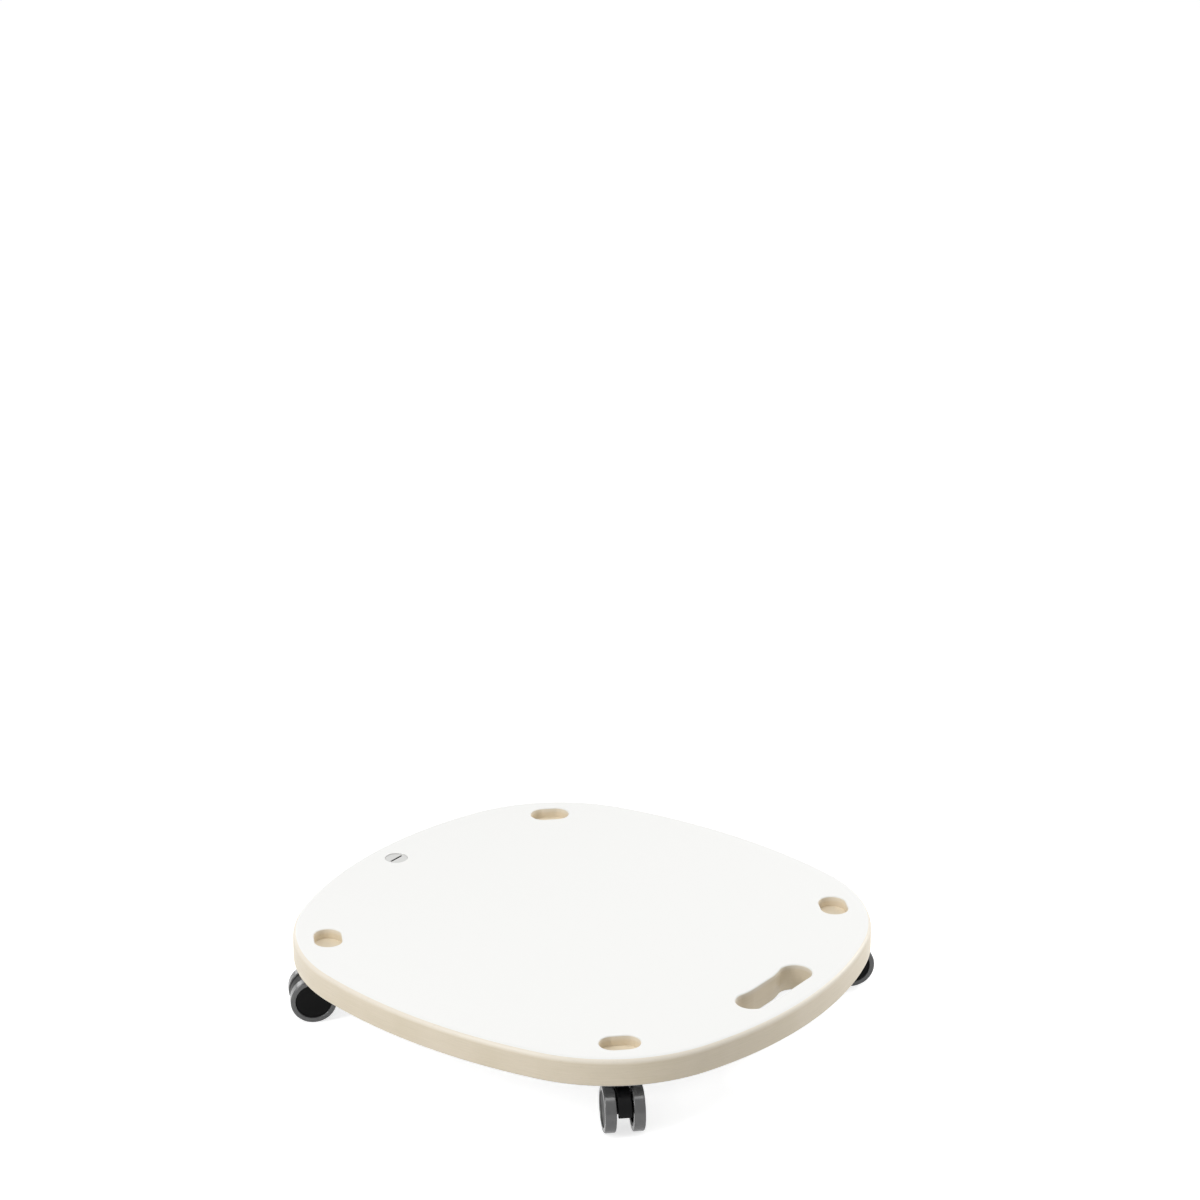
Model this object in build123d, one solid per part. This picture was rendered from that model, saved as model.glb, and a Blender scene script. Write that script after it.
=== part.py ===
"""Stool trolley: a laminated board with four leg sockets and a hand slot, on four twin-wheel castors.

Millimetres. The origin is on the floor under the middle of the board, X runs across, Y along and Z up.
The hand slot is at the front (-Y) and the slotted plug at the rear (+Y).
"""
import os
from math import atan2, cos, degrees, hypot, radians, sin, sqrt

from build123d import *

# Board: bowed sides joined by rounded corners
board_width = 560.0
board_depth = 592.0
core_thickness = 29.2
laminate_thickness = 1.2
side_bow_radius = 612.0
end_bow_radius = 442.0
corner_radius = 182.0
top_arris = 7.0
under_arris = 3.0

# Leg sockets: blind oblong pockets, long across the diagonal
socket_side_inset = 84.5
socket_end_inset = 100.5
socket_length = 43.5
socket_width = 30.0
socket_depth = 12.0
socket_arris = 1.5

# Hand slot: two round lobes with a straight outer side and a waisted inner side
slot_edge_inset = 44.5
slot_lobe_spacing = 79.5
slot_lobe_radius = 17.7
slot_waist_inset = 3.5
slot_blend_radius = 60.0
slot_top_arris = 2.0
slot_under_arris = 4.6

# Slotted plug and the threaded insert that it screws into
plug_edge_inset = 34.0
plug_radius = 12.6
plug_recess = 0.8
plug_head_height = 3.2
plug_shank_radius = 5.0
plug_shank_length = 16.0
plug_slot_length = 19.0
plug_slot_width = 2.2
plug_slot_depth = 2.0
plug_edge = 0.4
plug_clearance = 0.2
thread_clearance = 0.05
insert_wall = 2.5
insert_length = 18.0
insert_flange_radius = 9.5
insert_flange_height = 1.5
insert_clearance = 0.05

# Castor: where it stands and how its wheels sit
castor_side_inset = 86.0
castor_end_inset = 102.0
castor_trail = 20.5
wheel_radius = 25.0
wheel_width = 12.0
wheel_gap = 18.0
wheel_crown_gap = 1.9

# Wheel: grey tyre moulded round a core with a closed outer face
tyre_thickness = 5.6
tyre_outer_edge = 1.6
tyre_inner_edge = 1.2
tyre_lip_edge = 1.2
tyre_bond_gap = 0.02
rim_thickness = 3.0
rim_inset = 0.5
disc_recess = 1.2
disc_thickness = 2.4
disc_edge = 0.5
hub_radius = 6.5
hub_projection = 0.3
hub_gap = 0.4
rib_count = 5
rib_thickness = 1.6
rib_inset = 3.0
rib_overlap = 1.0

# Axle: pressed into the body, with a groove at each end that a bead in the hub snaps into
axle_radius = 3.0
axle_end_gap = 0.4
axle_edge = 0.5
axle_press_gap = 0.02
axle_clearance = 0.05
bead_height = 0.35
bead_width = 1.0
bead_inset = 2.5
bead_clearance = 0.25

# Castor body: fender over the axle on a slim web, kingpin boss with a round foot, and a flat crown
crown_radius = 16.5
crown_height = 4.2
crown_edge = 1.2
crown_plate_gap = 0.4
boss_clearance = 1.0
boss_floor = 4.5
boss_round = 7.0
web_thickness = 6.0
web_nose_radius = 9.5
web_boss_overlap = 4.5
web_crown_reach = 13.0
fender_tread_gap = 1.4
fender_wheel_gap = 1.7
fender_wall = 3.0
fender_axle_lift = 0.8
fender_edge = 1.2
axle_boss_radius = 6.5

# Kingpin and snap ring
kingpin_radius = 4.0
kingpin_length = 24.5
kingpin_edge = 0.8
kingpin_head_radius = 5.6
kingpin_head_gap = 0.02
kingpin_clearance = 0.08
kingpin_end_gap = 0.05
ring_drop = 11.0
ring_thickness = 1.0
ring_depth = 0.8
ring_projection = 0.9
ring_split = 2.0
ring_seat_gap = 0.02
ring_axial_gap = 0.1
ring_clearance = 0.35

# Mounting plate and its wood screws
plate_thickness = 2.5
plate_margin = 6.0
plate_corner = 6.0
plate_hole_clearance = 0.4
screw_head_radius = 3.75
screw_head_height = 2.4
screw_head_flat = 2.25
screw_head_bevel = 1.2
screw_head_gap = 2.4
screw_radius = 1.9
screw_length = 16.0
screw_tip = 3.0
pilot_clearance = 0.05

# Worked out from the sizes above
socket_x = board_width / 2 - socket_side_inset
socket_y = board_depth / 2 - socket_end_inset
castor_x = board_width / 2 - castor_side_inset
castor_y = board_depth / 2 - castor_end_inset
slot_y = slot_edge_inset - board_depth / 2
plug_y = board_depth / 2 - plug_edge_inset
castor_height = 2 * wheel_radius + wheel_crown_gap + crown_height + crown_plate_gap + plate_thickness
board_bottom = castor_height
core_bottom = board_bottom + laminate_thickness
core_top = core_bottom + core_thickness
board_top = core_top + laminate_thickness
plate_bottom = board_bottom - plate_thickness
crown_top = plate_bottom - crown_plate_gap
crown_bottom = crown_top - crown_height
kingpin_bottom = plate_bottom - kingpin_length
bore_floor = kingpin_bottom - kingpin_end_gap
foot_height = bore_floor - boss_floor
ring_height = plate_bottom - ring_drop
wheel_inner = wheel_gap / 2
wheel_outer = wheel_inner + wheel_width
disc_outer = wheel_outer - disc_recess
disc_inner = disc_outer - disc_thickness
hub_face = wheel_inner - hub_projection
rim_radius = wheel_radius - tyre_thickness
axle_half = disc_inner - axle_end_gap
bead_place = disc_inner - bead_inset
boss_radius = wheel_inner - boss_clearance
fender_radius = wheel_radius - fender_tread_gap
fender_width = wheel_gap - 2 * fender_wheel_gap
fender_bottom = wheel_radius + fender_axle_lift
fender_reach = castor_trail + fender_radius
fender_rise = wheel_radius + fender_radius - fender_bottom
screw_circle = crown_radius + screw_head_radius + screw_head_gap
screw_offset = screw_circle * cos(radians(45))
plate_side = 2 * (screw_offset + plate_margin)
plug_top = board_top - plug_recess
plug_floor = plug_top - plug_head_height
insert_top = plug_floor
insert_seat = insert_top - insert_flange_height
insert_radius = plug_shank_radius + thread_clearance + insert_wall

# Edges within this distance of a height count as lying at it
same_level = 0.01

CORNERS = {
    "front_left": (-1, -1),
    "front_right": (1, -1),
    "rear_left": (-1, 1),
    "rear_right": (1, 1),
}
PLATE_HOLES = [(-1, -1), (1, -1), (1, 1), (-1, 1)]


def heading(corner):
    """Angle of the diagonal that runs out to a corner, in degrees."""
    return degrees(atan2(corner[1], corner[0]))


def socket_place(corner):
    """Middle of a corner's leg socket on the top, turned so that its X runs across the diagonal."""
    place = Pos(corner[0] * socket_x, corner[1] * socket_y, board_top)
    return place * Rot(0, 0, heading(corner) + 90)


def castor_place(corner):
    """A castor's swivel axis on the floor, turned so that its X trails outwards."""
    return Pos(corner[0] * castor_x, corner[1] * castor_y, 0) * Rot(0, 0, heading(corner))


def pin(radius, bottom, top):
    """Upright round bar on the Z axis."""
    return Pos(0, 0, (bottom + top) / 2) * Cylinder(radius, top - bottom)


def turned(points):
    """Solid of revolution about Z of a closed outline of (radius, height) points."""
    outline = Polyline(*[(radius, 0, height) for radius, height in points], close=True)
    return revolve(make_face(outline.edges()), Axis.Z)


def board_outline():
    """Face of eight tangent arcs: bowed sides and ends, joined by round corners."""
    side_centre = board_width / 2 - side_bow_radius
    end_centre = board_depth / 2 - end_bow_radius
    reach_side = side_bow_radius - corner_radius
    reach_end = end_bow_radius - corner_radius
    # The corner's centre lies where the two circles about the bow centres cross
    span = hypot(side_centre, end_centre)
    along = (reach_side**2 - reach_end**2 + span**2) / (2 * span)
    off = sqrt(reach_side**2 - along**2)
    step = (-side_centre / span, end_centre / span)
    corner_x = side_centre + along * step[0] - off * step[1]
    corner_y = along * step[1] + off * step[0]
    side_angle = degrees(atan2(corner_y, corner_x - side_centre))
    end_angle = degrees(atan2(corner_x, corner_y - end_centre))
    turn = 90 - side_angle - end_angle
    arcs = [
        CenterArc((side_centre, 0), side_bow_radius, -side_angle, 2 * side_angle),
        CenterArc((corner_x, corner_y), corner_radius, side_angle, turn),
        CenterArc((0, end_centre), end_bow_radius, 90 - end_angle, 2 * end_angle),
        CenterArc((-corner_x, corner_y), corner_radius, 90 + end_angle, turn),
        CenterArc((-side_centre, 0), side_bow_radius, 180 - side_angle, 2 * side_angle),
        CenterArc((-corner_x, -corner_y), corner_radius, 180 + side_angle, turn),
        CenterArc((0, -end_centre), end_bow_radius, 270 - end_angle, 2 * end_angle),
        CenterArc((corner_x, -corner_y), corner_radius, 270 + end_angle, turn),
    ]
    return make_face(arcs)


def hand_slot_outline():
    """Face of the slot: round lobes, a straight outer side, and blend arcs to a waist on the inner side."""
    lobe = slot_lobe_spacing / 2
    waist = slot_lobe_radius - slot_waist_inset
    blend_y = waist + slot_blend_radius
    reach = slot_lobe_radius + slot_blend_radius
    drop = degrees(atan2(blend_y, sqrt(reach**2 - blend_y**2)))
    blend_x = lobe - reach * cos(radians(drop))
    lobe_angle = 180 - drop
    blend_angle = 90 - drop
    edges = [
        CenterArc((lobe, 0), slot_lobe_radius, -90, 90 + lobe_angle),
        CenterArc((blend_x, blend_y), slot_blend_radius, 270, blend_angle),
        Line((blend_x, waist), (-blend_x, waist)),
        CenterArc((-blend_x, blend_y), slot_blend_radius, 270 - blend_angle, blend_angle),
        CenterArc((-lobe, 0), slot_lobe_radius, 180 - lobe_angle, 90 + lobe_angle),
        Line((-lobe, -slot_lobe_radius), (lobe, -slot_lobe_radius)),
    ]
    return make_face(edges)


def rim_edges(board, outline, height):
    """Edges of the board at one height that lie round an opening's outline."""
    box = outline.bounding_box()
    level = board.edges().filter_by_position(Axis.Z, height - same_level, height + same_level)
    across = level.filter_by_position(Axis.X, box.min.X, box.max.X)
    return across.filter_by_position(Axis.Y, box.min.Y, box.max.Y)


def board_layers():
    """Core and both laminates, cut as one board: outline, arris, sockets, hand slot and holes."""
    thickness = board_top - board_bottom
    board = Pos(0, 0, board_bottom) * extrude(board_outline(), thickness)
    board = fillet(board.edges().group_by(Axis.Z)[-1], top_arris)
    board = fillet(board.edges().group_by(Axis.Z)[0], under_arris)

    slot = Pos(0, slot_y, board_bottom) * hand_slot_outline()
    board -= extrude(slot, thickness)
    board = fillet(rim_edges(board, slot, board_top), slot_top_arris)
    board = fillet(rim_edges(board, slot, board_bottom), slot_under_arris)

    for corner in CORNERS.values():
        socket = socket_place(corner) * SlotOverall(socket_length, socket_width)
        board -= extrude(socket, -socket_depth)
        board = fillet(rim_edges(board, socket, board_top), socket_arris)

    board -= Pos(0, plug_y) * plug_hole()
    for corner in CORNERS.values():
        board -= [castor_place(corner) * place * pilot_hole() for place in plate_holes(corner)]

    layers = {}
    heights = {
        "bottom_laminate": (board_bottom, core_bottom),
        "board_core": (core_bottom, core_top),
        "top_laminate": (core_top, board_top),
    }
    for name, (bottom, top) in heights.items():
        slab = Pos(0, 0, (bottom + top) / 2) * Box(board_width, board_depth, top - bottom)
        layers[name] = board & slab
    return layers


def plug_hole():
    """Stepped hole for the plug's head, the insert's flange and the insert's body."""
    head = pin(plug_radius + plug_clearance, plug_floor, board_top)
    flange = pin(insert_flange_radius + insert_clearance, insert_seat, plug_floor)
    body = pin(insert_radius + insert_clearance, insert_seat - insert_length, insert_seat)
    return head + flange + body


def slotted_plug():
    """Sunk disc with a coin slot, and the shank that screws into the insert."""
    head = pin(plug_radius, plug_floor, plug_top)
    head = chamfer(head.edges().group_by(Axis.Z)[-1], plug_edge)
    slot = Pos(0, 0, plug_top) * SlotOverall(plug_slot_length, plug_slot_width)
    shank = pin(plug_shank_radius, plug_floor - plug_shank_length, plug_floor)
    return head - extrude(slot, -plug_slot_depth) + shank


def threaded_insert():
    """Flanged sleeve let into the board under the plug's head."""
    sleeve = pin(insert_radius, insert_seat - insert_length, insert_seat)
    flange = pin(insert_flange_radius, insert_seat, insert_top)
    bore = pin(plug_shank_radius + thread_clearance, insert_seat - insert_length, insert_top)
    return sleeve + flange - bore


def plate_holes(corner):
    """Places of a plate's four screws in the castor's frame, square to the board's sides."""
    square = Rot(0, 0, -heading(corner))
    return [square * Pos(x * screw_offset, y * screw_offset, 0) for x, y in PLATE_HOLES]


def pilot_hole():
    """Hole for one wood screw in the underside of the board."""
    return pin(screw_radius + pilot_clearance, board_bottom, board_bottom + screw_length - plate_thickness)


def wood_screw():
    """Pan-head wood screw, standing point up under the plate."""
    head_bottom = plate_bottom - screw_head_height
    tip = plate_bottom + screw_length
    return turned([
        (0, head_bottom),
        (screw_head_flat, head_bottom),
        (screw_head_radius, head_bottom + screw_head_bevel),
        (screw_head_radius, plate_bottom),
        (screw_radius, plate_bottom),
        (screw_radius, tip - screw_tip),
        (0, tip),
    ])


def mounting_plate(corner):
    """Square steel plate with four screw holes and a countersunk hole for the kingpin."""
    outline = RectangleRounded(plate_side, plate_side, plate_corner)
    plate = Pos(0, 0, plate_bottom) * Rot(0, 0, -heading(corner)) * extrude(outline, plate_thickness)
    hole = pin(screw_radius + plate_hole_clearance, plate_bottom, board_bottom)
    for place in plate_holes(corner):
        plate -= place * hole
    return plate - kingpin_head(kingpin_head_gap)


def kingpin_head(gap=0.0):
    """Rivet head that fills the countersink in the plate, or the countersink with a gap all round."""
    head = Cone(kingpin_radius + gap, kingpin_head_radius + gap, plate_thickness)
    return Pos(0, 0, plate_bottom + plate_thickness / 2) * head


def kingpin():
    """Upright pin riveted into the plate, with a groove for the snap ring."""
    shank = pin(kingpin_radius, kingpin_bottom, plate_bottom)
    shank = chamfer(shank.edges().group_by(Axis.Z)[0], kingpin_edge)
    half = ring_thickness / 2 + ring_axial_gap
    groove = pin(kingpin_radius, ring_height - half, ring_height + half)
    groove -= pin(kingpin_radius - ring_depth, ring_height - half, ring_height + half)
    return shank - groove + kingpin_head()


def snap_ring():
    """Split spring ring in the kingpin's groove."""
    half = ring_thickness / 2
    ring = pin(kingpin_radius + ring_projection, ring_height - half, ring_height + half)
    ring -= pin(kingpin_radius - ring_depth + ring_seat_gap, ring_height - half, ring_height + half)
    gap = Box(2 * kingpin_radius, ring_split, ring_thickness)
    return ring - Pos(-kingpin_radius, 0, ring_height) * gap


def castor_body():
    """Moulded body: fender and web between boss and axle, round-footed kingpin boss, crown and axle boss."""
    hub = Pos(castor_trail, wheel_radius)
    half_plane = Pos(fender_reach / 2, fender_bottom + fender_rise / 2) * Rectangle(fender_reach, fender_rise)
    dome = hub * Circle(fender_radius) & half_plane
    hollow = hub * Circle(fender_radius - fender_wall)
    fender = extrude(Plane.XZ * (dome - hollow), fender_width / 2, both=True)
    rims = fender.edges().filter_by(GeomType.CIRCLE).group_by(SortBy.RADIUS)[-1]
    fender = fillet(rims, fender_edge)

    web_back = boss_radius - web_boss_overlap
    web_top = crown_bottom + crown_height / 2
    nose = hub * Circle(web_nose_radius)
    foot = Pos(0, foot_height) * Circle(web_back)
    shoulder = Line((-web_back, web_top), (web_crown_reach, web_top))
    profile = make_hull(nose.edges() + foot.edges() + shoulder.edges()) + dome
    web = extrude(Plane.XZ * profile, web_thickness / 2, both=True)

    boss = pin(boss_radius, foot_height - boss_round, crown_top)
    boss = fillet(boss.edges().group_by(Axis.Z)[0], boss_round)
    crown = pin(crown_radius, crown_bottom, crown_top)
    crown = fillet(crown.edges().filter_by(GeomType.CIRCLE), crown_edge)
    axle_line = Pos(castor_trail, 0, wheel_radius) * Rot(90, 0, 0)
    axle_boss = axle_line * Cylinder(axle_boss_radius, 2 * (hub_face - hub_gap))

    bore_radius = kingpin_radius + kingpin_clearance
    groove_radius = kingpin_radius + ring_projection + ring_clearance
    half = ring_thickness / 2 + ring_clearance
    bore = pin(bore_radius, bore_floor, crown_top)
    bore += pin(groove_radius, ring_height - half, ring_height + half)
    axle_hole = axle_line * Cylinder(axle_radius + axle_press_gap, wheel_gap)
    return web + fender + boss + crown + axle_boss - bore - axle_hole


def axle():
    """Steel axle with chamfered ends and a snap groove near each end, upright on the Z axis."""
    bar = pin(axle_radius, -axle_half, axle_half)
    bar = chamfer(bar.edges().filter_by(GeomType.CIRCLE), axle_edge)
    half = bead_width / 2 + bead_clearance
    depth = bead_height + bead_clearance
    for side in (-1, 1):
        groove = pin(axle_radius, side * bead_place - half, side * bead_place + half)
        bar -= groove - pin(axle_radius - depth, side * bead_place - half, side * bead_place + half)
    return bar


def wheel_core():
    """Core of a wheel about Z: hub with a snap bead, closed outer disc, rim and ribs."""
    bore = axle_radius + axle_clearance
    rim_inner = wheel_inner + rim_inset
    rim_bore = rim_radius - rim_thickness
    core = turned([
        (0, disc_inner),
        (bore, disc_inner),
        (bore, bead_place + bead_width / 2),
        (axle_radius - bead_height, bead_place),
        (bore, bead_place - bead_width / 2),
        (bore, hub_face),
        (hub_radius, hub_face),
        (hub_radius, disc_inner),
        (rim_bore, disc_inner),
        (rim_bore, rim_inner),
        (rim_radius, rim_inner),
        (rim_radius, disc_outer - disc_edge),
        (rim_radius - disc_edge, disc_outer),
        (0, disc_outer),
    ])
    rib_height = disc_inner - rim_inner - rib_inset
    rib_start = hub_radius - rib_overlap
    rib_end = rim_bore + rib_overlap
    rib = Box(rib_end - rib_start, rib_thickness, rib_height)
    rib = Pos((rib_start + rib_end) / 2, 0, disc_inner - rib_height / 2) * rib
    for index in range(rib_count):
        core += Rot(0, 0, index * 360 / rib_count) * rib
    return core


def tyre():
    """Tyre about Z: full outer edge, smaller inner one, and a rounded lip round the recessed disc."""
    bore = rim_radius + tyre_bond_gap
    ring = pin(wheel_radius, wheel_inner, wheel_outer)
    rims = ring.edges().filter_by(GeomType.CIRCLE).sort_by(Axis.Z)
    ring = fillet(rims[-1], tyre_outer_edge)
    ring = fillet(ring.edges().filter_by(GeomType.CIRCLE).sort_by(Axis.Z)[0], tyre_inner_edge)
    ring -= pin(bore, wheel_inner, wheel_outer)
    lip = ring.edges().filter_by(GeomType.CIRCLE).group_by(Axis.Z)[-1].sort_by(SortBy.RADIUS)[0]
    return fillet(lip, tyre_lip_edge)


def castor_pieces(name, corner):
    """Every piece of one castor, in place under its corner of the board."""
    place = castor_place(corner)
    axle_line = place * Pos(castor_trail, 0, wheel_radius)
    pieces = {
        f"{name}_plate": place * mounting_plate(corner),
        f"{name}_kingpin": place * kingpin(),
        f"{name}_snap_ring": place * snap_ring(),
        f"{name}_castor_body": place * castor_body(),
        f"{name}_axle": axle_line * Rot(-90, 0, 0) * axle(),
    }
    for number, turn in ((1, -90), (2, 90)):
        pieces[f"{name}_wheel_{number}_core"] = axle_line * Rot(turn, 0, 0) * wheel_core()
        pieces[f"{name}_wheel_{number}_tyre"] = axle_line * Rot(turn, 0, 0) * tyre()
    return pieces


def main():
    """Build every piece and write one STEP file for each."""
    pieces = board_layers()
    pieces["slotted_plug"] = Pos(0, plug_y) * slotted_plug()
    pieces["threaded_insert"] = Pos(0, plug_y) * threaded_insert()
    screws = []
    for name, corner in CORNERS.items():
        pieces.update(castor_pieces(name, corner))
        screws += [castor_place(corner) * place * wood_screw() for place in plate_holes(corner)]
    pieces["castor_screws"] = Compound(children=screws)

    os.makedirs("parts", exist_ok=True)
    for name, piece in pieces.items():
        export_step(piece, os.path.join("parts", f"{name}.step"))


if __name__ == "__main__":
    main()
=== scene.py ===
"""Looks of the stool trolley: a white laminated board with birch edges on four twin-wheel castors.

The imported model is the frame. This script gives every surface its finish, models the screws and plates
again with the detail that shows from below, and sets the studio and the camera. Lengths are in metres,
apart from those that are said to be in mm.
"""
import logging
import math
from dataclasses import dataclass, field
from enum import Enum
from typing import Any

import bmesh
import bpy
from mathutils import Matrix, Vector


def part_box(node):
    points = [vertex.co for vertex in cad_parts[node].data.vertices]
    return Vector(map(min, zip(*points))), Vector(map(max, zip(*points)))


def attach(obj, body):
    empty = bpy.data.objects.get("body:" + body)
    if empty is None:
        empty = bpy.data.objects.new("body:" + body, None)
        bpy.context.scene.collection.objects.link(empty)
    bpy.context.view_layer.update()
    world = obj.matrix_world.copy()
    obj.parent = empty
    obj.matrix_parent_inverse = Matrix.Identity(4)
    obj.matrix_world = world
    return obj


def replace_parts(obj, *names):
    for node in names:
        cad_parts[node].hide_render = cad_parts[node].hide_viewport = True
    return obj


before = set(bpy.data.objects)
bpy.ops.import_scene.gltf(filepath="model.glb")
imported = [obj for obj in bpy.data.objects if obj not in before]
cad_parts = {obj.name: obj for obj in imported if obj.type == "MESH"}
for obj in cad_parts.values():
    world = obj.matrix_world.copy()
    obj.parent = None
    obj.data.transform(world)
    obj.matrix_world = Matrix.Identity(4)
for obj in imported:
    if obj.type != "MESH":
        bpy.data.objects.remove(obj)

MM = 0.001
# Corners of a mesh that lie closer together than this are one
MERGE_DISTANCE = 0.001 * MM
# A wave texture at scale 1 has this many radians of wave in a unit of length
WAVE_RADIANS = 20
LOG = logging.getLogger("stool_trolley")

Tree = bpy.types.NodeTree
Node = bpy.types.Node
Socket = bpy.types.NodeSocket


class Corner(Enum):
    """The board's four corners, as the sides of X and Y that they lie on."""

    FRONT_LEFT = (-1, -1)
    FRONT_RIGHT = (1, -1)
    REAR_LEFT = (-1, 1)
    REAR_RIGHT = (1, 1)

    @property
    def label(self) -> str:
        """Start of the names of the corner's nodes."""
        return self.name.lower()


def linear(colour: str) -> tuple[float, float, float, float]:
    """Turn an sRGB hex colour into linear RGBA.

    Args:
        colour: Six hex digits with a leading hash.

    Returns:
        Red, green, blue and an alpha of 1.
    """
    parts = [int(colour[start:start + 2], 16) / 255 for start in (1, 3, 5)]
    toe, slope, offset, power = 0.04045, 12.92, 0.055, 2.4
    red, green, blue = (
        part / slope if part <= toe else ((part + offset) / (1 + offset)) ** power for part in parts)
    return red, green, blue, 1.0


def add_node(tree: Tree, kind: str, inputs: dict[str | int, Any], **settings: Any) -> Node:
    """Add one shader node with its settings, values and links.

    Args:
        tree: Node tree that gets the node.
        kind: Blender's name of the node type.
        inputs: Value, or output socket to link, for each named or numbered input.
        **settings: Attributes of the node.

    Returns:
        The new node.
    """
    made = tree.nodes.new(kind)
    for name, value in settings.items():
        setattr(made, name, value)
    for name, value in inputs.items():
        if isinstance(value, Socket):
            tree.links.new(value, made.inputs[name])
        else:
            made.inputs[name].default_value = value
    return made


@dataclass(frozen=True)
class Noise:
    """One noise pattern, alike in all directions.

    Attributes:
        size: Size of its features in mm.
        detail: How many finer layers it has.
        breakup: Strength of each finer layer.
    """

    size: float
    detail: float
    breakup: float

    def inputs(self, place: Socket) -> dict[str, Any]:
        """Inputs of the noise node that draws the pattern on these coordinates."""
        scale = 1 / (self.size * MM)
        return {"Vector": place, "Scale": scale, "Detail": self.detail, "Roughness": self.breakup}


@dataclass(frozen=True)
class Streak:
    """One noise pattern with a size of its own in height, as grain has.

    Attributes:
        length: Size of its features in mm along X and Y.
        thickness: Their size in mm along Z.
        detail: How many finer layers it has.
    """

    length: float
    thickness: float
    detail: float

    def scale(self) -> tuple[float, float, float]:
        """Pattern scale on each axis that gives the features their sizes."""
        return 1 / (self.length * MM), 1 / (self.length * MM), 1 / (self.thickness * MM)


@dataclass(frozen=True)
class Relief:
    """Fine bumps on a surface.

    Attributes:
        strength: How strongly they show, from 0 to 1.
        height: Their height in mm.
    """

    strength: float
    height: float

    def inputs(self, pattern: Socket) -> dict[str, Any]:
        """Inputs of the bump node that raises the pattern."""
        return {"Height": pattern, "Strength": self.strength, "Distance": self.height * MM}


@dataclass(frozen=True)
class Span:
    """Part of a pattern's values that is stretched over a range of its own.

    Attributes:
        low: Value at the range's start.
        high: Value at its end.
    """

    low: float
    high: float

    def inputs(self, pattern: Socket, start: float, end: float) -> dict[str, Any]:
        """Inputs of the map range node that stretches the pattern from start to end."""
        return {
            "Value": pattern, "From Min": self.low, "From Max": self.high,
            "To Min": start, "To Max": end}


@dataclass(frozen=True)
class Finish:
    """One surface finish: a Principled material in Object coordinates.

    Attributes:
        name: Name of the material.
        colour: Base colour as sRGB hex.
        roughness: Roughness of the whole surface, before any pattern.
        metallic: 1 for a metal.
        ior: Index of refraction.
        specular: Strength of the reflection, where 0.5 is what the index gives.
    """

    name: str
    colour: str
    roughness: float
    metallic: float = 0.0
    ior: float = 1.5
    specular: float = 0.5

    def make(self) -> bpy.types.Material:
        """Build the material.

        Returns:
            The new material, with its pattern linked.
        """
        material = bpy.data.materials.new(self.name)
        material.use_nodes = True
        tree = material.node_tree
        tree.nodes.clear()
        shader = add_node(tree, "ShaderNodeBsdfPrincipled", {
            "Base Color": linear(self.colour), "Roughness": self.roughness,
            "Metallic": self.metallic, "IOR": self.ior,
            "Specular IOR Level": self.specular})
        add_node(tree, "ShaderNodeOutputMaterial", {"Surface": shader.outputs["BSDF"]})
        coordinates = add_node(tree, "ShaderNodeTexCoord", {}).outputs["Object"]
        self.pattern(tree, shader, coordinates)
        return material

    def pattern(self, tree: Tree, shader: Node, place: Socket) -> None:
        """Link the finish's own detail to the shader.

        Args:
            tree: The material's node tree.
            shader: Its Principled node.
            place: Object coordinates, in metres.
        """
        raise NotImplementedError


@dataclass(frozen=True)
class WhiteLaminate(Finish):
    """High-pressure laminate, pressed with a fine pearl: even white with a soft, slightly broken sheen.

    Attributes:
        pearl: The pearl, drawn coarser than real so that it shows close up.
        relief: The pearl's bumps.
        smear: Patches where hands and wiping have changed the sheen.
        smear_span: Part of the patches' values that changes the sheen.
        sheen: Change of the roughness at each end of that span.
    """

    name: str = "white_pearl_laminate"
    colour: str = "#F3F3F1"
    roughness: float = 0.55
    specular: float = 0.25
    pearl: Noise = Noise(size=1.1, detail=2.0, breakup=0.5)
    relief: Relief = Relief(strength=0.12, height=0.05)
    smear: Noise = Noise(size=60.0, detail=3.0, breakup=0.55)
    smear_span: Span = Span(low=0.3, high=0.7)
    sheen: tuple[float, float] = (-0.04, 0.04)

    def pattern(self, tree: Tree, shader: Node, place: Socket) -> None:
        """Put the pearl in the bump and slow patches in the roughness.

        Args:
            tree: The material's node tree.
            shader: Its Principled node.
            place: Object coordinates, in metres.
        """
        pearl = add_node(tree, "ShaderNodeTexNoise", self.pearl.inputs(place))
        bump = add_node(tree, "ShaderNodeBump", self.relief.inputs(pearl.outputs[0]))
        smear = add_node(tree, "ShaderNodeTexNoise", self.smear.inputs(place))
        sheen = add_node(tree, "ShaderNodeMapRange", self.smear_span.inputs(
            smear.outputs[0], self.roughness + self.sheen[0], self.roughness + self.sheen[1]))
        tree.links.new(sheen.outputs[0], shader.inputs["Roughness"])
        tree.links.new(bump.outputs[0], shader.inputs["Normal"])


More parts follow.
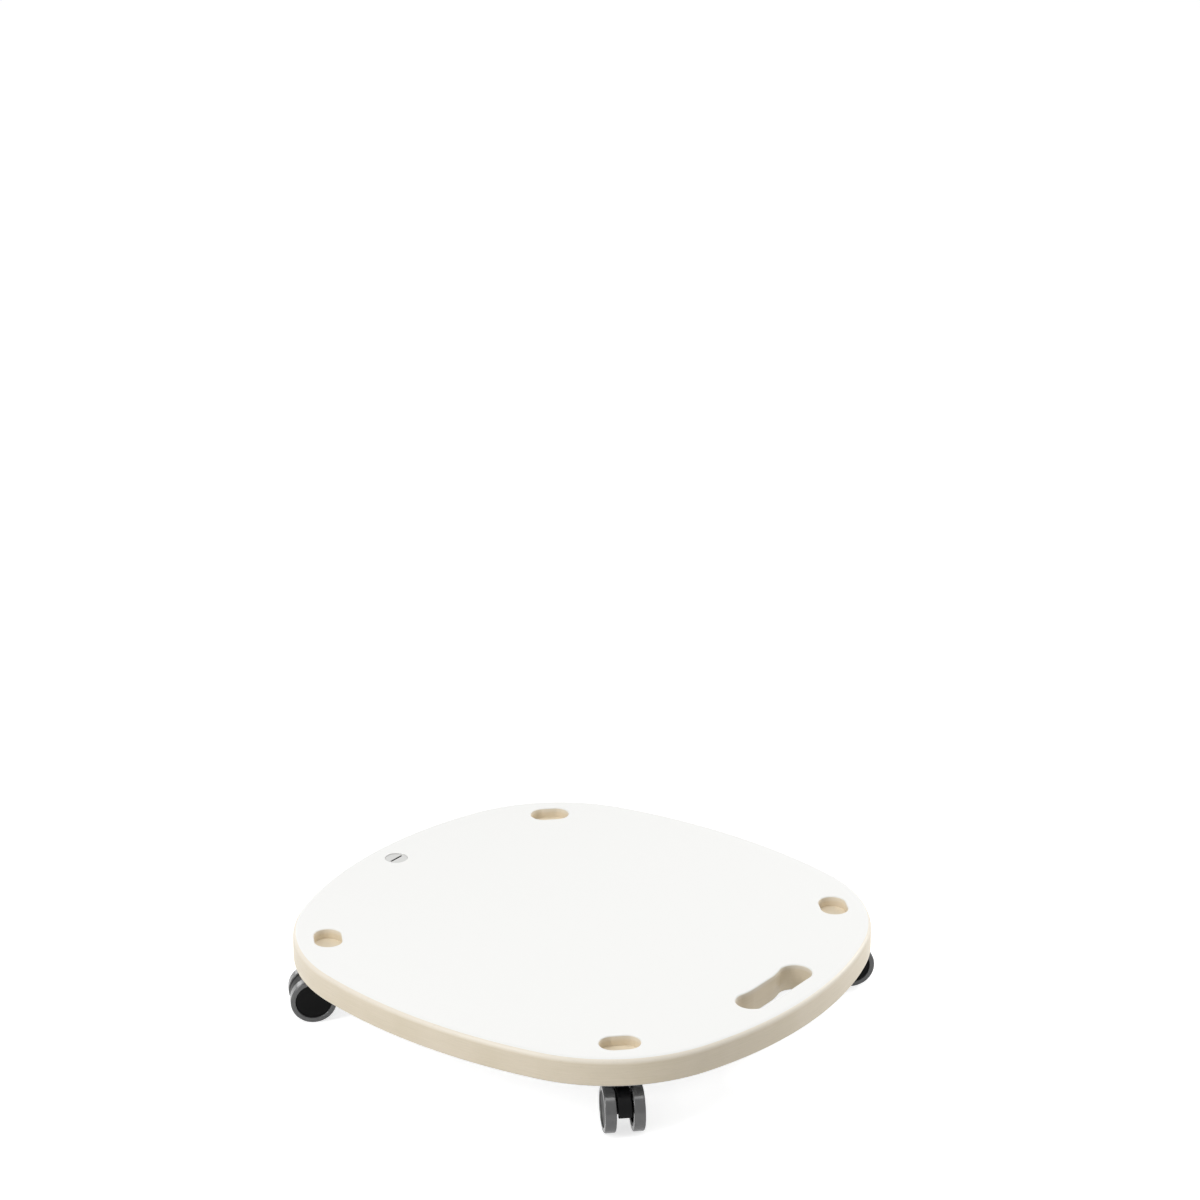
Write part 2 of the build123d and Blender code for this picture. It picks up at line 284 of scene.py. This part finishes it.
@dataclass(frozen=True)
class BirchEdge(Finish):
    """Birch, sanded and matt lacquered: pale cream with fine grain that runs along the edge.

    The grain is thin in height and long across, so it follows every upright wall round the board. The
    round of the upper edge is painted paler than the wall below it, a painted highlight of the light from
    above.

    Attributes:
        dark: Colour of the darker grain.
        painted_highlight: Colour of the round, a painted highlight of the light that falls on it from
            above.
        fade: Depths in mm where the painted highlight starts to fade and where it ends.
        top: Height of the core's upper face in the frame.
        grain: The grain's streaks.
        fleck: The short pores.
        cloud: Slow changes of tone.
        breakup: Strength of each finer layer of these.
        tone_span: Part of the values of grain and clouds together that turns the wood dark.
        pore_span: Part of the flecks' values that makes a pore.
        pore_shade: Brightness of a pore as a share of the wood's.
        relief: The grain's bumps.
    """

    name: str = "birch_matt_lacquer"
    colour: str = "#E6DAC5"
    roughness: float = 0.4
    specular: float = 0.4
    dark: str = "#DED2BA"
    painted_highlight: str = "#ECE4D5"
    fade: tuple[float, float] = (2.2, 5.3)
    top: float = 0.0
    grain: Streak = Streak(length=38.0, thickness=0.7, detail=4.0)
    fleck: Streak = Streak(length=7.0, thickness=0.3, detail=1.0)
    cloud: Streak = Streak(length=70.0, thickness=70.0, detail=2.0)
    breakup: float = 0.55
    tone_span: Span = Span(low=0.75, high=1.25)
    pore_span: Span = Span(low=0.64, high=0.74)
    pore_shade: float = 0.9
    relief: Relief = Relief(strength=0.1, height=0.05)

    def pattern(self, tree: Tree, shader: Node, place: Socket) -> None:
        """Put grain, clouds, pores and the painted highlight on the round in the colour, and the grain in
        the bump.

        Args:
            tree: The material's node tree.
            shader: Its Principled node.
            place: Object coordinates, in metres.
        """
        noises = []
        for streak in (self.grain, self.fleck, self.cloud):
            spread = add_node(tree, "ShaderNodeMapping", {"Vector": place, "Scale": streak.scale()})
            noise = add_node(tree, "ShaderNodeTexNoise", {
                "Vector": spread.outputs[0], "Scale": 1.0,
                "Detail": streak.detail, "Roughness": self.breakup})
            noises.append(noise.outputs[0])
        grain, fleck, cloud = noises
        tone = add_node(tree, "ShaderNodeMath", {0: grain, 1: cloud}, operation="ADD")
        share = add_node(tree, "ShaderNodeMapRange", self.tone_span.inputs(tone.outputs[0], 0.0, 1.0))
        wood = add_node(tree, "ShaderNodeMix", {
            "Factor": share.outputs[0], "A": linear(self.colour), "B": linear(self.dark)},
            data_type="RGBA")
        pore = add_node(tree, "ShaderNodeMapRange", self.pore_span.inputs(fleck, 1.0, self.pore_shade))
        # Painted highlight: the wood turns paler towards the top of the round, for the light that falls on
        # it from above.
        height = add_node(tree, "ShaderNodeSeparateXYZ", {"Vector": place}).outputs["Z"]
        starts, ends = self.fade
        highlight_band = Span(low=self.top - ends * MM, high=self.top - starts * MM)
        highlight_share = add_node(tree, "ShaderNodeMapRange", highlight_band.inputs(height, 0.0, 1.0))
        edge = add_node(tree, "ShaderNodeMix", {
            "Factor": highlight_share.outputs[0], "A": wood.outputs["Result"], "B": linear(self.painted_highlight)},
            data_type="RGBA")
        shade = add_node(tree, "ShaderNodeVectorMath", {
            0: edge.outputs["Result"], "Scale": pore.outputs[0]}, operation="SCALE")
        bump = add_node(tree, "ShaderNodeBump", self.relief.inputs(grain))
        tree.links.new(shade.outputs[0], shader.inputs["Base Color"])
        tree.links.new(bump.outputs[0], shader.inputs["Normal"])


@dataclass(frozen=True)
class ZincPlated(Finish):
    """Bright zinc on pressed steel: pale bluish grey metal with a faint crystalline mottle.

    Attributes:
        mottle: The mottle.
        mottle_span: Part of the mottle's values that changes the sheen.
        sheen: Change of the roughness at each end of that span.
        relief: The mottle's bumps.
    """

    name: str = "zinc_plated_steel"
    colour: str = "#C3C7CA"
    roughness: float = 0.34
    metallic: float = 1.0
    mottle: Noise = Noise(size=2.5, detail=3.0, breakup=0.6)
    mottle_span: Span = Span(low=0.3, high=0.7)
    sheen: tuple[float, float] = (-0.1, 0.12)
    relief: Relief = Relief(strength=0.15, height=0.03)

    def pattern(self, tree: Tree, shader: Node, place: Socket) -> None:
        """Put the mottle in the roughness and a little in the bump.

        Args:
            tree: The material's node tree.
            shader: Its Principled node.
            place: Object coordinates, in metres.
        """
        mottle = add_node(tree, "ShaderNodeTexNoise", self.mottle.inputs(place))
        sheen = add_node(tree, "ShaderNodeMapRange", self.mottle_span.inputs(
            mottle.outputs[0], self.roughness + self.sheen[0], self.roughness + self.sheen[1]))
        bump = add_node(tree, "ShaderNodeBump", self.relief.inputs(mottle.outputs[0]))
        tree.links.new(sheen.outputs[0], shader.inputs["Roughness"])
        tree.links.new(bump.outputs[0], shader.inputs["Normal"])


@dataclass(frozen=True)
class TurnedNickel(Finish):
    """Satin nickel on a turned disc: pale metal with fine rings from the lathe, and painted shade down in
    its slot.

    Attributes:
        grime: Colour of the metal at the bottom of the slot, a painted shade.
        grime_depth: How far down in mm the slot is fully in painted shade.
        ring: Spacing of the rings in mm, drawn coarser than real so that they show close up.
        wobble: How far the rings stray from true.
        ring_detail: How many finer layers that straying has.
        relief: The rings' height.
        middle: Middle of the disc's face in the frame.
    """

    name: str = "satin_turned_nickel"
    colour: str = "#D6D6D4"
    roughness: float = 0.34
    metallic: float = 1.0
    grime: str = "#5A5855"
    grime_depth: float = 0.6
    ring: float = 0.45
    wobble: float = 0.4
    ring_detail: float = 1.0
    relief: Relief = Relief(strength=0.25, height=0.02)
    middle: tuple[float, float, float] = (0.0, 0.0, 0.0)

    def pattern(self, tree: Tree, shader: Node, place: Socket) -> None:
        """Put rings in the bump, round the disc's own axis, and painted shade in the colour by depth.

        Args:
            tree: The material's node tree.
            shader: Its Principled node.
            place: Object coordinates, in metres.
        """
        x, y, face = self.middle
        # Painted shade: the metal turns dark with depth down the slot and rim, where shade falls.
        height = add_node(tree, "ShaderNodeSeparateXYZ", {"Vector": place}).outputs["Z"]
        depth = Span(low=face - self.grime_depth * MM, high=face)
        unshaded = add_node(tree, "ShaderNodeMapRange", depth.inputs(height, 0.0, 1.0))
        metal = add_node(tree, "ShaderNodeMix", {
            "Factor": unshaded.outputs[0], "A": linear(self.grime), "B": linear(self.colour)},
            data_type="RGBA")
        centred = add_node(tree, "ShaderNodeMapping", {"Vector": place, "Location": (-x, -y, 0.0)})
        turns = 2 * math.pi / WAVE_RADIANS / (self.ring * MM)
        rings = add_node(tree, "ShaderNodeTexWave", {
            "Vector": centred.outputs[0], "Scale": turns, "Distortion": self.wobble,
            "Detail": self.ring_detail},
            wave_type="RINGS", rings_direction="Z")
        bump = add_node(tree, "ShaderNodeBump", self.relief.inputs(rings.outputs["Fac"]))
        tree.links.new(metal.outputs["Result"], shader.inputs["Base Color"])
        tree.links.new(bump.outputs[0], shader.inputs["Normal"])


@dataclass(frozen=True)
class BlackNylon(Finish):
    """Black nylon, moulded against a spark-eroded tool: deep matt black with a fine grainy sheen.

    Attributes:
        grit: The tool's texture.
        relief: That texture's bumps.
        flow: Slow marks from the flow of the plastic.
        flow_span: Part of the marks' values that changes the sheen.
        sheen: Change of the roughness at each end of that span.
    """

    name: str = "black_moulded_nylon"
    colour: str = "#0E0E0F"
    roughness: float = 0.42
    specular: float = 0.12
    grit: Noise = Noise(size=0.45, detail=2.0, breakup=0.6)
    relief: Relief = Relief(strength=0.3, height=0.05)
    flow: Noise = Noise(size=9.0, detail=2.0, breakup=0.5)
    flow_span: Span = Span(low=0.3, high=0.7)
    sheen: tuple[float, float] = (-0.06, 0.06)

    def pattern(self, tree: Tree, shader: Node, place: Socket) -> None:
        """Put the grit in the bump and the flow marks in the roughness.

        Args:
            tree: The material's node tree.
            shader: Its Principled node.
            place: Object coordinates, in metres.
        """
        grit = add_node(tree, "ShaderNodeTexNoise", self.grit.inputs(place))
        bump = add_node(tree, "ShaderNodeBump", self.relief.inputs(grit.outputs[0]))
        flow = add_node(tree, "ShaderNodeTexNoise", self.flow.inputs(place))
        sheen = add_node(tree, "ShaderNodeMapRange", self.flow_span.inputs(
            flow.outputs[0], self.roughness + self.sheen[0], self.roughness + self.sheen[1]))
        tree.links.new(sheen.outputs[0], shader.inputs["Roughness"])
        tree.links.new(bump.outputs[0], shader.inputs["Normal"])


@dataclass(frozen=True)
class GreyTyre(Finish):
    """Grey thermoplastic rubber, moulded smooth: mid grey with a clear sheen and light scuffing.

    Attributes:
        scuff: Colour of the rubbed patches.
        patch: The rubbed patches.
        scuff_span: Part of the patches' values that changes the colour.
        sheen_span: Part of the patches' values that changes the sheen.
        sheen: Change of the roughness at each end of that span.
        grit: The moulded texture.
        relief: That texture's bumps.
    """

    name: str = "grey_soft_tyre"
    colour: str = "#4C4C4D"
    roughness: float = 0.19
    specular: float = 0.8
    scuff: str = "#515151"
    patch: Noise = Noise(size=11.0, detail=4.0, breakup=0.6)
    scuff_span: Span = Span(low=0.4, high=0.75)
    sheen_span: Span = Span(low=0.35, high=0.75)
    sheen: tuple[float, float] = (-0.04, 0.1)
    grit: Noise = Noise(size=0.5, detail=2.0, breakup=0.5)
    relief: Relief = Relief(strength=0.15, height=0.04)

    def pattern(self, tree: Tree, shader: Node, place: Socket) -> None:
        """Put scuffs in the colour and roughness, and the texture in the bump.

        Args:
            tree: The material's node tree.
            shader: Its Principled node.
            place: Object coordinates, in metres.
        """
        patch = add_node(tree, "ShaderNodeTexNoise", self.patch.inputs(place)).outputs[0]
        share = add_node(tree, "ShaderNodeMapRange", self.scuff_span.inputs(patch, 0.0, 1.0))
        rubber = add_node(tree, "ShaderNodeMix", {
            "Factor": share.outputs[0], "A": linear(self.colour), "B": linear(self.scuff)},
            data_type="RGBA")
        sheen = add_node(tree, "ShaderNodeMapRange", self.sheen_span.inputs(
            patch, self.roughness + self.sheen[0], self.roughness + self.sheen[1]))
        grit = add_node(tree, "ShaderNodeTexNoise", self.grit.inputs(place))
        bump = add_node(tree, "ShaderNodeBump", self.relief.inputs(grit.outputs[0]))
        tree.links.new(rubber.outputs["Result"], shader.inputs["Base Color"])
        tree.links.new(sheen.outputs[0], shader.inputs["Roughness"])
        tree.links.new(bump.outputs[0], shader.inputs["Normal"])


@dataclass
class Workshop:
    """Makes each finish once and puts it on pieces.

    Attributes:
        made: The materials made so far, by name.
    """

    made: dict[str, bpy.types.Material] = field(default_factory=dict)

    def dress(self, piece: bpy.types.Object, finish: Finish) -> None:
        """Give a piece a finish.

        Args:
            piece: Mesh object of the frame, or a new one.
            finish: The finish, which is built the first time it is used.
        """
        if finish.name not in self.made:
            self.made[finish.name] = finish.make()
        if not piece.material_slots:
            piece.data.materials.append(None)
        for slot in piece.material_slots:
            slot.material = self.made[finish.name]
        LOG.info("%s: %s", piece.name, finish.name)

    def dress_node(self, node: str, finish: Finish) -> None:
        """Give a node of the frame a finish."""
        self.dress(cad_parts[node], finish)


def place_piece(
    mesh: bmesh.types.BMesh, name: str, body: str, crease_deg: float,
) -> bpy.types.Object:
    """Turn a finished bmesh into a piece that rides on a body.

    Args:
        mesh: The shape in the frame. It is freed here.
        name: Name of the piece.
        body: Body that carries it.
        crease_deg: Edges sharper than this stay crisp.

    Returns:
        The new object.
    """
    bmesh.ops.recalc_face_normals(mesh, faces=mesh.faces[:])
    data = bpy.data.meshes.new(name)
    mesh.to_mesh(data)
    mesh.free()
    data.shade_smooth()
    data.set_sharp_from_angle(angle=math.radians(crease_deg))
    piece = bpy.data.objects.new(name, data)
    bpy.context.scene.collection.objects.link(piece)
    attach(piece, body)
    return piece


def crosses(edge: bmesh.types.BMEdge, height: float) -> bool:
    """Whether an edge has one end above a height and the other not."""
    first, second = edge.verts
    return (first.co.z > height) != (second.co.z > height)


@dataclass
class Board:
    """The laminated board with its slotted plug.

    Attributes:
        laminate: Finish of both faces.
        metal: Finish of the insert under the plug.
    """

    laminate: Finish = WhiteLaminate()
    metal: Finish = ZincPlated()

    def dress(self, workshop: Workshop) -> None:
        """Put laminate on both faces, birch on the core, and metal on the plug and its insert.

        Args:
            workshop: Makes the finishes and puts them on.
        """
        for node in ("top_laminate", "bottom_laminate"):
            workshop.dress_node(node, self.laminate)
        workshop.dress_node("board_core", BirchEdge(top=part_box("board_core")[1].z))
        low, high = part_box("slotted_plug")
        middle = (low + high) / 2
        workshop.dress_node("slotted_plug", TurnedNickel(middle=(middle.x, middle.y, high.z)))
        workshop.dress_node("threaded_insert", self.metal)


@dataclass
class Screw:
    """Pan-head wood screw with a cross recess, point up on the Z axis, its head seated at a height.

    Attributes:
        seat: Height of the plate's underside.
        tip: Height of the point.
        head_radius: Radius of the head.
        head_height: How far the head stands below the plate.
        flat_radius: Radius of the head's flat middle.
        shank_radius: Radius of the shank.
        point_length: Length of the point's taper.
        recess_arm: Reach of the recess from the middle.
        recess_width: Width of one arm of the recess.
        recess_depth: Depth of the recess.
        recess_taper: Size of the recess's floor as a share of its mouth.
        sides: Number of flats round the screw.
        dome_steps: Number of flats up the dome of the head.
    """

    seat: float
    tip: float
    head_radius: float = 3.75 * MM
    head_height: float = 2.4 * MM
    flat_radius: float = 2.5 * MM
    shank_radius: float = 1.9 * MM
    point_length: float = 3.0 * MM
    recess_arm: float = 1.9 * MM
    recess_width: float = 0.75 * MM
    recess_depth: float = 1.5 * MM
    recess_taper: float = 0.45
    sides: int = 32
    dome_steps: int = 6

    def build(self) -> bmesh.types.BMesh:
        """Model the screw.

        Returns:
            The closed screw, on the Z axis.
        """
        mesh = bmesh.new()
        self.turn_outside(mesh)
        self.cut_recess(mesh)
        bmesh.ops.remove_doubles(mesh, verts=mesh.verts[:], dist=MERGE_DISTANCE)
        return mesh

    def turn_outside(self, mesh: bmesh.types.BMesh) -> None:
        """Spin the dome of the head, the shank and the point about the axis.

        Args:
            mesh: Gets the new faces.
        """
        low = self.seat - self.head_height
        swell = self.head_radius - self.flat_radius
        points = []
        for step in range(self.dome_steps + 1):
            angle = math.pi / 2 * step / self.dome_steps
            rise = self.head_height * (1 - math.cos(angle))
            points.append((self.flat_radius + swell * math.sin(angle), low + rise))
        points.append((self.shank_radius, self.seat))
        points.append((self.shank_radius, self.tip - self.point_length))
        points.append((0, self.tip))
        line = [mesh.verts.new((radius, 0, height)) for radius, height in points]
        edges = [mesh.edges.new(pair) for pair in zip(line, line[1:])]
        bmesh.ops.spin(mesh, geom=line + edges, cent=(0, 0, 0), axis=(0, 0, 1), dvec=(0, 0, 0),
                       angle=2 * math.pi, steps=self.sides, use_merge=True, use_duplicate=False)

    def cut_recess(self, mesh: bmesh.types.BMesh) -> None:
        """Fill the head's flat round a cross, and sink the cross into the head.

        Args:
            mesh: The outside of the screw, open at the flat.
        """
        low = self.seat - self.head_height
        rim = bmesh.ops.create_circle(mesh, cap_ends=False, segments=self.sides, radius=self.flat_radius,
                                      matrix=Matrix.Translation((0, 0, low)))["verts"]
        half = self.recess_width / 2
        corner = [(self.recess_arm, -half), (self.recess_arm, half), (half, half)]
        turns = [Matrix.Rotation(math.pi / 2 * quarter, 2) for quarter in range(4)]
        cross = [mesh.verts.new((*(turn @ Vector(point)), low)) for turn in turns for point in corner]
        outline = [mesh.edges.new(pair) for pair in zip(cross, cross[1:] + cross[:1])]
        rim_edges = list({edge for vert in rim for edge in vert.link_edges})
        bmesh.ops.triangle_fill(mesh, use_beauty=True, edges=rim_edges + outline)
        sunk = bmesh.ops.extrude_edge_only(mesh, edges=outline)["geom"]
        floor = [item for item in sunk if isinstance(item, bmesh.types.BMVert)]
        bmesh.ops.translate(mesh, verts=floor, vec=(0, 0, self.recess_depth))
        bmesh.ops.scale(mesh, verts=floor, vec=(self.recess_taper, self.recess_taper, 1))
        sunk_edges = [item for item in sunk if isinstance(item, bmesh.types.BMEdge)]
        floor_edges = [edge for edge in sunk_edges if all(vert in floor for vert in edge.verts)]
        bmesh.ops.triangle_fill(mesh, use_beauty=True, edges=floor_edges)


@dataclass
class Castor:
    """One twin-wheel castor with its mounting plate.

    Attributes:
        corner: Corner of the board that it stands under.
        screw_margin: From a screw's middle to the plate's edge.
        plate_corner: Radius of the plate's corners.
        corner_steps: Number of flats round such a corner.
        plate_edge: Radius that the press leaves on the plate's edges.
        edge_steps: Number of flats round such an edge.
        crease_deg: Edges of the plate that are sharper than this stay crisp.
        body: Finish of the castor's body.
        disc: Finish of the wheels' cores, from a smoother tool.
        rubber: Finish of the tyres.
        metal: Finish of the plate, kingpin, snap ring and axle.
    """

    corner: Corner
    screw_margin: float = 6.0 * MM
    plate_corner: float = 6.0 * MM
    corner_steps: int = 8
    plate_edge: float = 0.45 * MM
    edge_steps: int = 3
    crease_deg: float = 40.0
    body: Finish = BlackNylon()
    disc: Finish = BlackNylon(
        name="black_smooth_nylon", colour="#101010", roughness=0.36, specular=0.08,
        relief=Relief(strength=0.12, height=0.05))
    rubber: Finish = GreyTyre()
    metal: Finish = ZincPlated()

    @property
    def label(self) -> str:
        """Start of the names of the castor's nodes."""
        return self.corner.label

    def plate_box(self) -> tuple[Vector, Vector]:
        """Lowest and highest corner of the mounting plate."""
        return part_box(f"{self.label}_plate")

    def screw_places(self) -> list[Vector]:
        """Find where the plate's four screws stand.

        Returns:
            Their middles, at the height of the plate's underside.
        """
        low, high = self.plate_box()
        middle = (low + high) / 2
        reach = (high.x - low.x) / 2 - self.screw_margin
        sides = [corner.value for corner in Corner]
        return [Vector((middle.x + x * reach, middle.y + y * reach, low.z)) for x, y in sides]

    def build_plate(self) -> bpy.types.Object:
        """Model the pressed plate with round corners and eased edges.

        Returns:
            The plate, which stands for the node of that name.
        """
        low, high = self.plate_box()
        middle = (low + high) / 2
        mesh = bmesh.new()
        place = Matrix.Translation(middle) @ Matrix.Diagonal((*(high - low), 1))
        bmesh.ops.create_cube(mesh, size=1, matrix=place)
        upright = [edge for edge in mesh.edges if crosses(edge, middle.z)]
        bmesh.ops.bevel(mesh, geom=upright, offset=self.plate_corner, offset_type="OFFSET", affect="EDGES",
                        segments=self.corner_steps, profile=0.5, material=-1)
        rims = [edge for edge in mesh.edges if not crosses(edge, middle.z)]
        bmesh.ops.bevel(mesh, geom=rims, offset=self.plate_edge, offset_type="OFFSET", affect="EDGES",
                        segments=self.edge_steps, profile=0.5, material=-1)
        plate = place_piece(mesh, f"{self.label}_pressed_plate", "board", self.crease_deg)
        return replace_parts(plate, f"{self.label}_plate")

    def dress(self, workshop: Workshop) -> None:
        """Build the plate and put every piece's finish on it.

        Args:
            workshop: Makes the finishes and puts them on.
        """
        workshop.dress(self.build_plate(), self.metal)
        for piece in ("kingpin", "snap_ring", "axle"):
            workshop.dress_node(f"{self.label}_{piece}", self.metal)
        workshop.dress_node(f"{self.label}_castor_body", self.body)
        for wheel in ("wheel_1", "wheel_2"):
            workshop.dress_node(f"{self.label}_{wheel}_core", self.disc)
            workshop.dress_node(f"{self.label}_{wheel}_tyre", self.rubber)


@dataclass
class ScrewSet:
    """All the castors' screws as one piece, as they are one node.

    Attributes:
        castors: The castors that they hold.
        turn_deg: Turn from each screw to the next, so that no two recesses lie alike.
        crease_deg: Edges sharper than this stay crisp.
        metal: Finish of the screws.
    """

    castors: list[Castor]
    turn_deg: float = 137.5
    crease_deg: float = 35.0
    metal: Finish = ZincPlated()

    def build(self) -> bpy.types.Object:
        """Model one screw and stand a copy in each hole, each turned its own way.

        Returns:
            The screws, which stand for their node.
        """
        places = [place for castor in self.castors for place in castor.screw_places()]
        screw = Screw(seat=places[0].z, tip=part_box("castor_screws")[1].z).build()
        pattern = bpy.data.meshes.new("screw_pattern")
        screw.to_mesh(pattern)
        screw.free()
        mesh = bmesh.new()
        for index, place in enumerate(places):
            first = len(mesh.verts)
            mesh.from_mesh(pattern)
            mesh.verts.ensure_lookup_table()
            turn = Matrix.Rotation(math.radians(self.turn_deg) * index, 4, "Z")
            move = Matrix.Translation((place.x, place.y, 0)) @ turn
            bmesh.ops.transform(mesh, matrix=move, verts=mesh.verts[first:])
        bpy.data.meshes.remove(pattern)
        piece = place_piece(mesh, "castor_pan_head_screws", "board", self.crease_deg)
        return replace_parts(piece, "castor_screws")

    def dress(self, workshop: Workshop) -> None:
        """Build the screws and put their finish on them."""
        workshop.dress(self.build(), self.metal)


def seen_directly(tree: Tree) -> Socket:
    """Tell what the camera sees straight, in a mirror or through glass from what lights a surface.

    Args:
        tree: Node tree that gets the nodes.

    Returns:
        Socket that is 1 for what is seen and 0 for what lights.
    """
    path = add_node(tree, "ShaderNodeLightPath", {})
    straight = add_node(tree, "ShaderNodeMath", {
        0: path.outputs["Is Camera Ray"], 1: path.outputs["Is Glossy Ray"]}, operation="MAXIMUM")
    either = add_node(tree, "ShaderNodeMath", {
        0: straight.outputs[0], 1: path.outputs["Is Transmission Ray"]}, operation="MAXIMUM")
    return either.outputs[0]


@dataclass
class SoftBox:
    """One rectangular studio lamp that faces the board.

    Attributes:
        name: Name of the lamp.
        place: Where it stands.
        width: Its width.
        height: Its height.
        power: Its power in watts.
    """

    name: str
    place: tuple[float, float, float]
    width: float
    height: float
    power: float

    def set_up(self, target: Vector) -> None:
        """Stand the lamp in the scene.

        Args:
            target: Point that the lamp faces.
        """
        lamp = bpy.data.lights.new(self.name, "AREA")
        lamp.shape = "RECTANGLE"
        lamp.size = self.width
        lamp.size_y = self.height
        lamp.energy = self.power
        stand = bpy.data.objects.new(self.name, lamp)
        bpy.context.scene.collection.objects.link(stand)
        stand.location = self.place
        stand.rotation_mode = "QUATERNION"
        stand.rotation_quaternion = (target - Vector(self.place)).to_track_quat("-Z", "Y")


@dataclass
class Studio:
    """Pale floor, soft light and the camera at the photograph's angle.

    Attributes:
        floor_colour: Colour of the floor.
        floor_width: Side of the square floor.
        floor_glow: Strength of the floor's own glow where the camera sees it.
        sky_colour: Colour of the even light from all round.
        sky: Strength of that light.
        eye: Place of the camera.
        azimuth_deg: Direction that the camera looks from, where 0 looks along +Y.
        elevation_deg: How far it looks down.
        focal_length: Focal length in mm.
        sensor: Width of the sensor in mm.
        view_depth: How far the camera sees.
    """

    floor_colour: str = "#DEDEDE"
    floor_width: float = 30.0
    floor_glow: float = 0.99
    sky_colour: str = "#FFFFFF"
    sky: float = 0.34
    eye: tuple[float, float, float] = (-3.0536, -2.3149, 2.0204)
    azimuth_deg: float = -53.115
    elevation_deg: float = 22.077
    focal_length: float = 118.351
    sensor: float = 36.0
    view_depth: float = 100.0

    def set_up(self) -> None:
        """Build the floor, the light and the camera."""
        self.lay_floor()
        self.light_world()
        target = Vector((0, 0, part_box("board_core")[0].z))
        for lamp in self.lamps():
            lamp.set_up(target)
        self.stand_camera()
        bpy.context.scene.view_settings.view_transform = "Standard"

    def lamps(self) -> list[SoftBox]:
        """List the lamps: a key on the left, a fill on the right, one above and a low one behind.

        The fill and the low lamp stand between the eighths of a turn, so that in views from those
        directions the laminate mirrors less of them.

        Returns:
            The lamps, not yet set up.
        """
        return [
            SoftBox("key_left", place=(-2.75, 0.85, 1.7), width=0.55, height=2.0, power=41.0),
            SoftBox("fill_right", place=(2.42, -1.0, 1.2), width=0.8, height=1.8, power=36.0),
            SoftBox("top", place=(-0.3, -0.15, 2.95), width=2.0, height=2.0, power=33.0),
            SoftBox("back", place=(1.11, 2.68, 0.55), width=1.2, height=0.7, power=7.0),
        ]

    def lay_floor(self) -> None:
        """Lay a wide pale floor and paint it."""
        mesh = bmesh.new()
        bmesh.ops.create_grid(mesh, x_segments=1, y_segments=1, size=self.floor_width / 2)
        data = bpy.data.meshes.new("studio_floor")
        mesh.to_mesh(data)
        mesh.free()
        floor = bpy.data.objects.new("studio_floor", data)
        bpy.context.scene.collection.objects.link(floor)
        data.materials.append(self.floor_paint())

    def floor_paint(self) -> bpy.types.Material:
        """Make the floor's paint, which glows to the camera, keeps the shadow and is clear from below.

        Returns:
            The new material.
        """
        material = bpy.data.materials.new("pale_floor")
        material.use_nodes = True
        tree = material.node_tree
        tree.nodes.clear()
        paint = add_node(tree, "ShaderNodeBsdfDiffuse", {"Color": linear(self.floor_colour)})
        glow = add_node(tree, "ShaderNodeMath", {
            0: seen_directly(tree), 1: self.floor_glow}, operation="MULTIPLY")
        lift = add_node(tree, "ShaderNodeEmission", {
            "Color": linear(self.floor_colour), "Strength": glow.outputs[0]})
        both = add_node(tree, "ShaderNodeAddShader", {0: paint.outputs[0], 1: lift.outputs[0]})
        clear = add_node(tree, "ShaderNodeBsdfTransparent", {})
        side = add_node(tree, "ShaderNodeNewGeometry", {})
        surface = add_node(tree, "ShaderNodeMixShader", {
            0: side.outputs["Backfacing"], 1: both.outputs[0], 2: clear.outputs[0]})
        add_node(tree, "ShaderNodeOutputMaterial", {"Surface": surface.outputs[0]})
        return material

    def light_world(self) -> None:
        """Give even light from all round, which looks white where it is seen directly."""
        world = bpy.data.worlds.new("studio")
        world.use_nodes = True
        tree = world.node_tree
        tree.nodes.clear()
        strength = add_node(tree, "ShaderNodeMapRange", {
            "Value": seen_directly(tree), "To Min": self.sky, "To Max": 1.0})
        sky = add_node(tree, "ShaderNodeBackground", {
            "Color": linear(self.sky_colour), "Strength": strength.outputs[0]})
        add_node(tree, "ShaderNodeOutputWorld", {"Surface": sky.outputs[0]})
        bpy.context.scene.world = world

    def stand_camera(self) -> None:
        """Stand the camera where the photograph was taken from."""
        lens = bpy.data.cameras.new("photo_view")
        lens.lens = self.focal_length
        lens.sensor_width = self.sensor
        lens.clip_end = self.view_depth
        camera = bpy.data.objects.new("photo_view", lens)
        bpy.context.scene.collection.objects.link(camera)
        turn = math.radians(self.azimuth_deg)
        tilt = math.radians(self.elevation_deg)
        back = Vector((math.sin(turn) * math.cos(tilt), -math.cos(turn) * math.cos(tilt), math.sin(tilt)))
        camera.location = self.eye
        camera.rotation_mode = "QUATERNION"
        camera.rotation_quaternion = (-back).to_track_quat("-Z", "Y")
        bpy.context.scene.camera = camera


def main() -> None:
    """Dress the board and the castors, then set the studio."""
    logging.basicConfig(level=logging.INFO, format="%(name)s %(message)s")
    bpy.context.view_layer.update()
    workshop = Workshop()
    Board().dress(workshop)
    castors = [Castor(corner) for corner in Corner]
    for castor in castors:
        castor.dress(workshop)
    ScrewSet(castors).dress(workshop)
    Studio().set_up()


if __name__ == "__main__":
    main()
